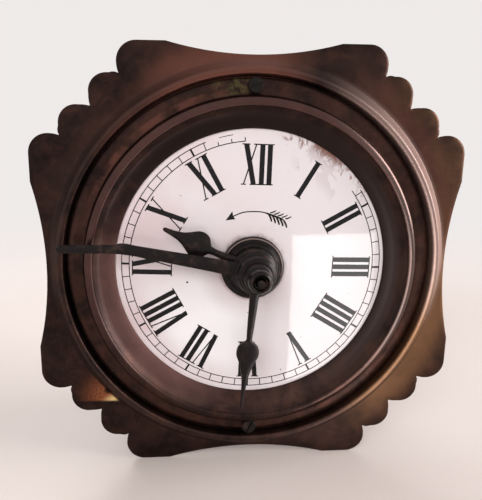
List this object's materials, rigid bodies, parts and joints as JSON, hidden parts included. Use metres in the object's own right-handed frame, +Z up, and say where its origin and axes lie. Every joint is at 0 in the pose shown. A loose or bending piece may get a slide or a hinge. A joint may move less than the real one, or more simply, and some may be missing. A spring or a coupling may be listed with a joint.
{
  "type": "travel alarm clock",
  "caption": "Mechanical alarm clock with a scalloped square brass front, round enamel dial, three exposed hands and a drum case with keys and levers on its back.",
  "frame": {"origin": "centre of the bounding box's base, where the clock stands", "axes": "+X to the right and +Z up as the dial is read, +Y from the dial towards the back"},
  "size_m": [0.1048, 0.0726, 0.1048],
  "materials": {
    "bronzed_brass": "dark brown bronzed patina worn to golden brass at the edges",
    "bronzed_bezel": "darker bronzed patina, satin",
    "enamel": "glossy white fired enamel with black printed numerals",
    "blackened_steel": "blackened steel",
    "steel": "plain bright steel",
    "brass": "plain machined brass",
    "spring_steel": "blued spring steel",
    "bell_metal": "nickelled bell metal"
  },
  "bodies": {
    "clock_case": {"alarm_mainspring": "spring_steel", "back_cover": "bronzed_brass", "back_cover_screw_1": "steel", "back_cover_screw_2": "steel", "back_cover_screw_3": "steel", "back_plate": "brass", "bell": "bell_metal", "bell_post": "steel", "bezel_ring": "bronzed_bezel", "bezel_screw_bottom": "steel", "bezel_screw_top": "steel", "centre_boss": "blackened_steel", "dial": "enamel", "drum_case": "bronzed_brass", "front_frame": "bronzed_brass", "front_plate": "brass", "hairspring": "spring_steel", "pillar_nut_1": "steel", "pillar_nut_2": "steel", "pillar_nut_3": "steel", "pillar_nut_4": "steel", "rear_foot_left": "bronzed_brass", "rear_foot_right": "bronzed_brass", "time_mainspring": "spring_steel"},
    "minute_group": {"centre_arbor": "steel", "centre_wheel": "brass", "cannon_pinion": "steel", "minute_hand": "blackened_steel"},
    "hour_group": {"hour_wheel": "brass", "hour_hand": "blackened_steel"},
    "setting_group": {"setting_arbor": "steel", "minute_wheel": "brass", "set_knob": "brass"},
    "alarm_setting_group": {"alarm_arbor": "steel", "alarm_hand": "blackened_steel", "alarm_knob": "blackened_steel", "alarm_cam": "brass"},
    "time_barrel": {"time_great_wheel": "brass"},
    "time_click_body": {"time_click": "steel"},
    "time_winding_group": {"time_winding_arbor": "steel", "time_key": "brass"},
    "alarm_barrel": {"alarm_great_wheel": "brass"},
    "alarm_click_body": {"alarm_click": "steel"},
    "alarm_winding_group": {"alarm_winding_arbor": "steel", "alarm_key": "brass"},
    "third_group": {"third_pinion": "steel", "third_wheel": "brass"},
    "fourth_group": {"fourth_pinion": "steel", "fourth_wheel": "brass"},
    "escape_group": {"escape_pinion": "steel", "escape_wheel": "brass"},
    "lever_body": {"pallet_lever": "steel"},
    "balance_group": {"balance_wheel": "brass", "balance_staff": "steel"},
    "alarm_escape_body": {"alarm_escape_wheel": "steel"},
    "hammer_group": {"hammer_arbor": "steel", "hammer": "steel"},
    "release_body": {"release_lever": "steel"},
    "stop_body": {"alarm_stop_lever": "steel"},
    "regulator_body": {"regulator_lever": "steel"}
  },
  "joints": [
    {"name": "minute_turn", "type": "hinge", "parent": "clock_case", "child": "minute_group", "pos_m": [0, -0.01883, 0.0524], "axis": [0, 1, 0], "continuous": true},
    {"name": "hour_turn", "type": "hinge", "parent": "clock_case", "child": "hour_group", "pos_m": [0, -0.01883, 0.0524], "axis": [0, 1, 0], "continuous": true},
    {"name": "set_turn", "type": "hinge", "parent": "clock_case", "child": "setting_group", "pos_m": [0.0066, -0.01883, 0.04098], "axis": [0, 1, 0], "continuous": true},
    {"name": "time_barrel_turn", "type": "hinge", "parent": "clock_case", "child": "time_barrel", "pos_m": [-0.01455, -0.01883, 0.044], "axis": [0, 1, 0], "continuous": true},
    {"name": "third_turn", "type": "hinge", "parent": "clock_case", "child": "third_group", "pos_m": [0.00594, -0.01883, 0.06269], "axis": [0, 1, 0], "continuous": true},
    {"name": "fourth_turn", "type": "hinge", "parent": "clock_case", "child": "fourth_group", "pos_m": [0.01505, -0.01883, 0.05937], "axis": [0, 1, 0], "continuous": true},
    {"name": "escape_turn", "type": "hinge", "parent": "clock_case", "child": "escape_group", "pos_m": [0.01645, -0.01883, 0.0514], "axis": [0, 1, 0], "continuous": true},
    {"name": "alarm_set_turn", "type": "hinge", "parent": "clock_case", "child": "alarm_setting_group", "pos_m": [0, -0.01883, 0.0524], "axis": [0, 1, 0], "continuous": true},
    {"name": "time_winding_turn", "type": "hinge", "parent": "clock_case", "child": "time_winding_group", "pos_m": [-0.01455, -0.01883, 0.044], "axis": [0, 1, 0], "continuous": true},
    {"name": "time_click_swing", "type": "hinge", "parent": "time_barrel", "child": "time_click_body", "pos_m": [-0.00889, -0.01883, 0.04966], "axis": [0, 1, 0], "range_deg": [-8, 12], "stiffness_Nm_per_rad": 0.00001},
    {"name": "alarm_winding_turn", "type": "hinge", "parent": "clock_case", "child": "alarm_winding_group", "pos_m": [-0.01382, -0.01883, 0.06887], "axis": [0, 1, 0], "continuous": true},
    {"name": "alarm_barrel_turn", "type": "hinge", "parent": "clock_case", "child": "alarm_barrel", "pos_m": [-0.01382, -0.01883, 0.06887], "axis": [0, 1, 0], "continuous": true},
    {"name": "alarm_click_swing", "type": "hinge", "parent": "alarm_barrel", "child": "alarm_click_body", "pos_m": [-0.00816, -0.01883, 0.07453], "axis": [0, 1, 0], "range_deg": [-8, 12], "stiffness_Nm_per_rad": 0.00001},
    {"name": "alarm_escape_turn", "type": "hinge", "parent": "clock_case", "child": "alarm_escape_body", "pos_m": [-0.00254, -0.01883, 0.07297], "axis": [0, 1, 0], "continuous": true},
    {"name": "lever_swing", "type": "hinge", "parent": "clock_case", "child": "lever_body", "pos_m": [0.0171, -0.01883, 0.04403], "axis": [0, 1, 0], "range_deg": [-7, 7]},
    {"name": "balance_swing", "type": "hinge", "parent": "clock_case", "child": "balance_group", "pos_m": [0.0163, -0.01883, 0.03486], "axis": [0, 1, 0], "range_deg": [-150, 150], "stiffness_Nm_per_rad": 0.0000025},
    {"name": "hammer_swing", "type": "hinge", "parent": "clock_case", "child": "hammer_group", "pos_m": [-0.00487, -0.01883, 0.07936], "axis": [0, 1, 0], "range_deg": [-8, 1]},
    {"name": "release_swing", "type": "hinge", "parent": "clock_case", "child": "release_body", "pos_m": [-0.0054, -0.01883, 0.06543], "axis": [0, 1, 0], "range_deg": [-0.5, 8]},
    {"name": "stop_swing", "type": "hinge", "parent": "clock_case", "child": "stop_body", "pos_m": [-0.01662, -0.01883, 0.07951], "axis": [0, 1, 0], "range_deg": [-12, 12]},
    {"name": "regulator_swing", "type": "hinge", "parent": "clock_case", "child": "regulator_body", "pos_m": [0.0163, -0.01883, 0.03486], "axis": [0, 1, 0], "range_deg": [-20, 20]}
  ],
  "couplings": [
    {"joint": "hour_turn", "follows": "minute_turn", "ratio": 0.083333},
    {"joint": "set_turn", "follows": "minute_turn", "ratio": -0.33333},
    {"joint": "time_barrel_turn", "follows": "minute_turn", "ratio": -0.16667},
    {"joint": "third_turn", "follows": "minute_turn", "ratio": -8},
    {"joint": "fourth_turn", "follows": "minute_turn", "ratio": 60},
    {"joint": "escape_turn", "follows": "minute_turn", "ratio": -480},
    {"joint": "alarm_escape_turn", "follows": "alarm_barrel_turn", "ratio": -7}
  ]
}
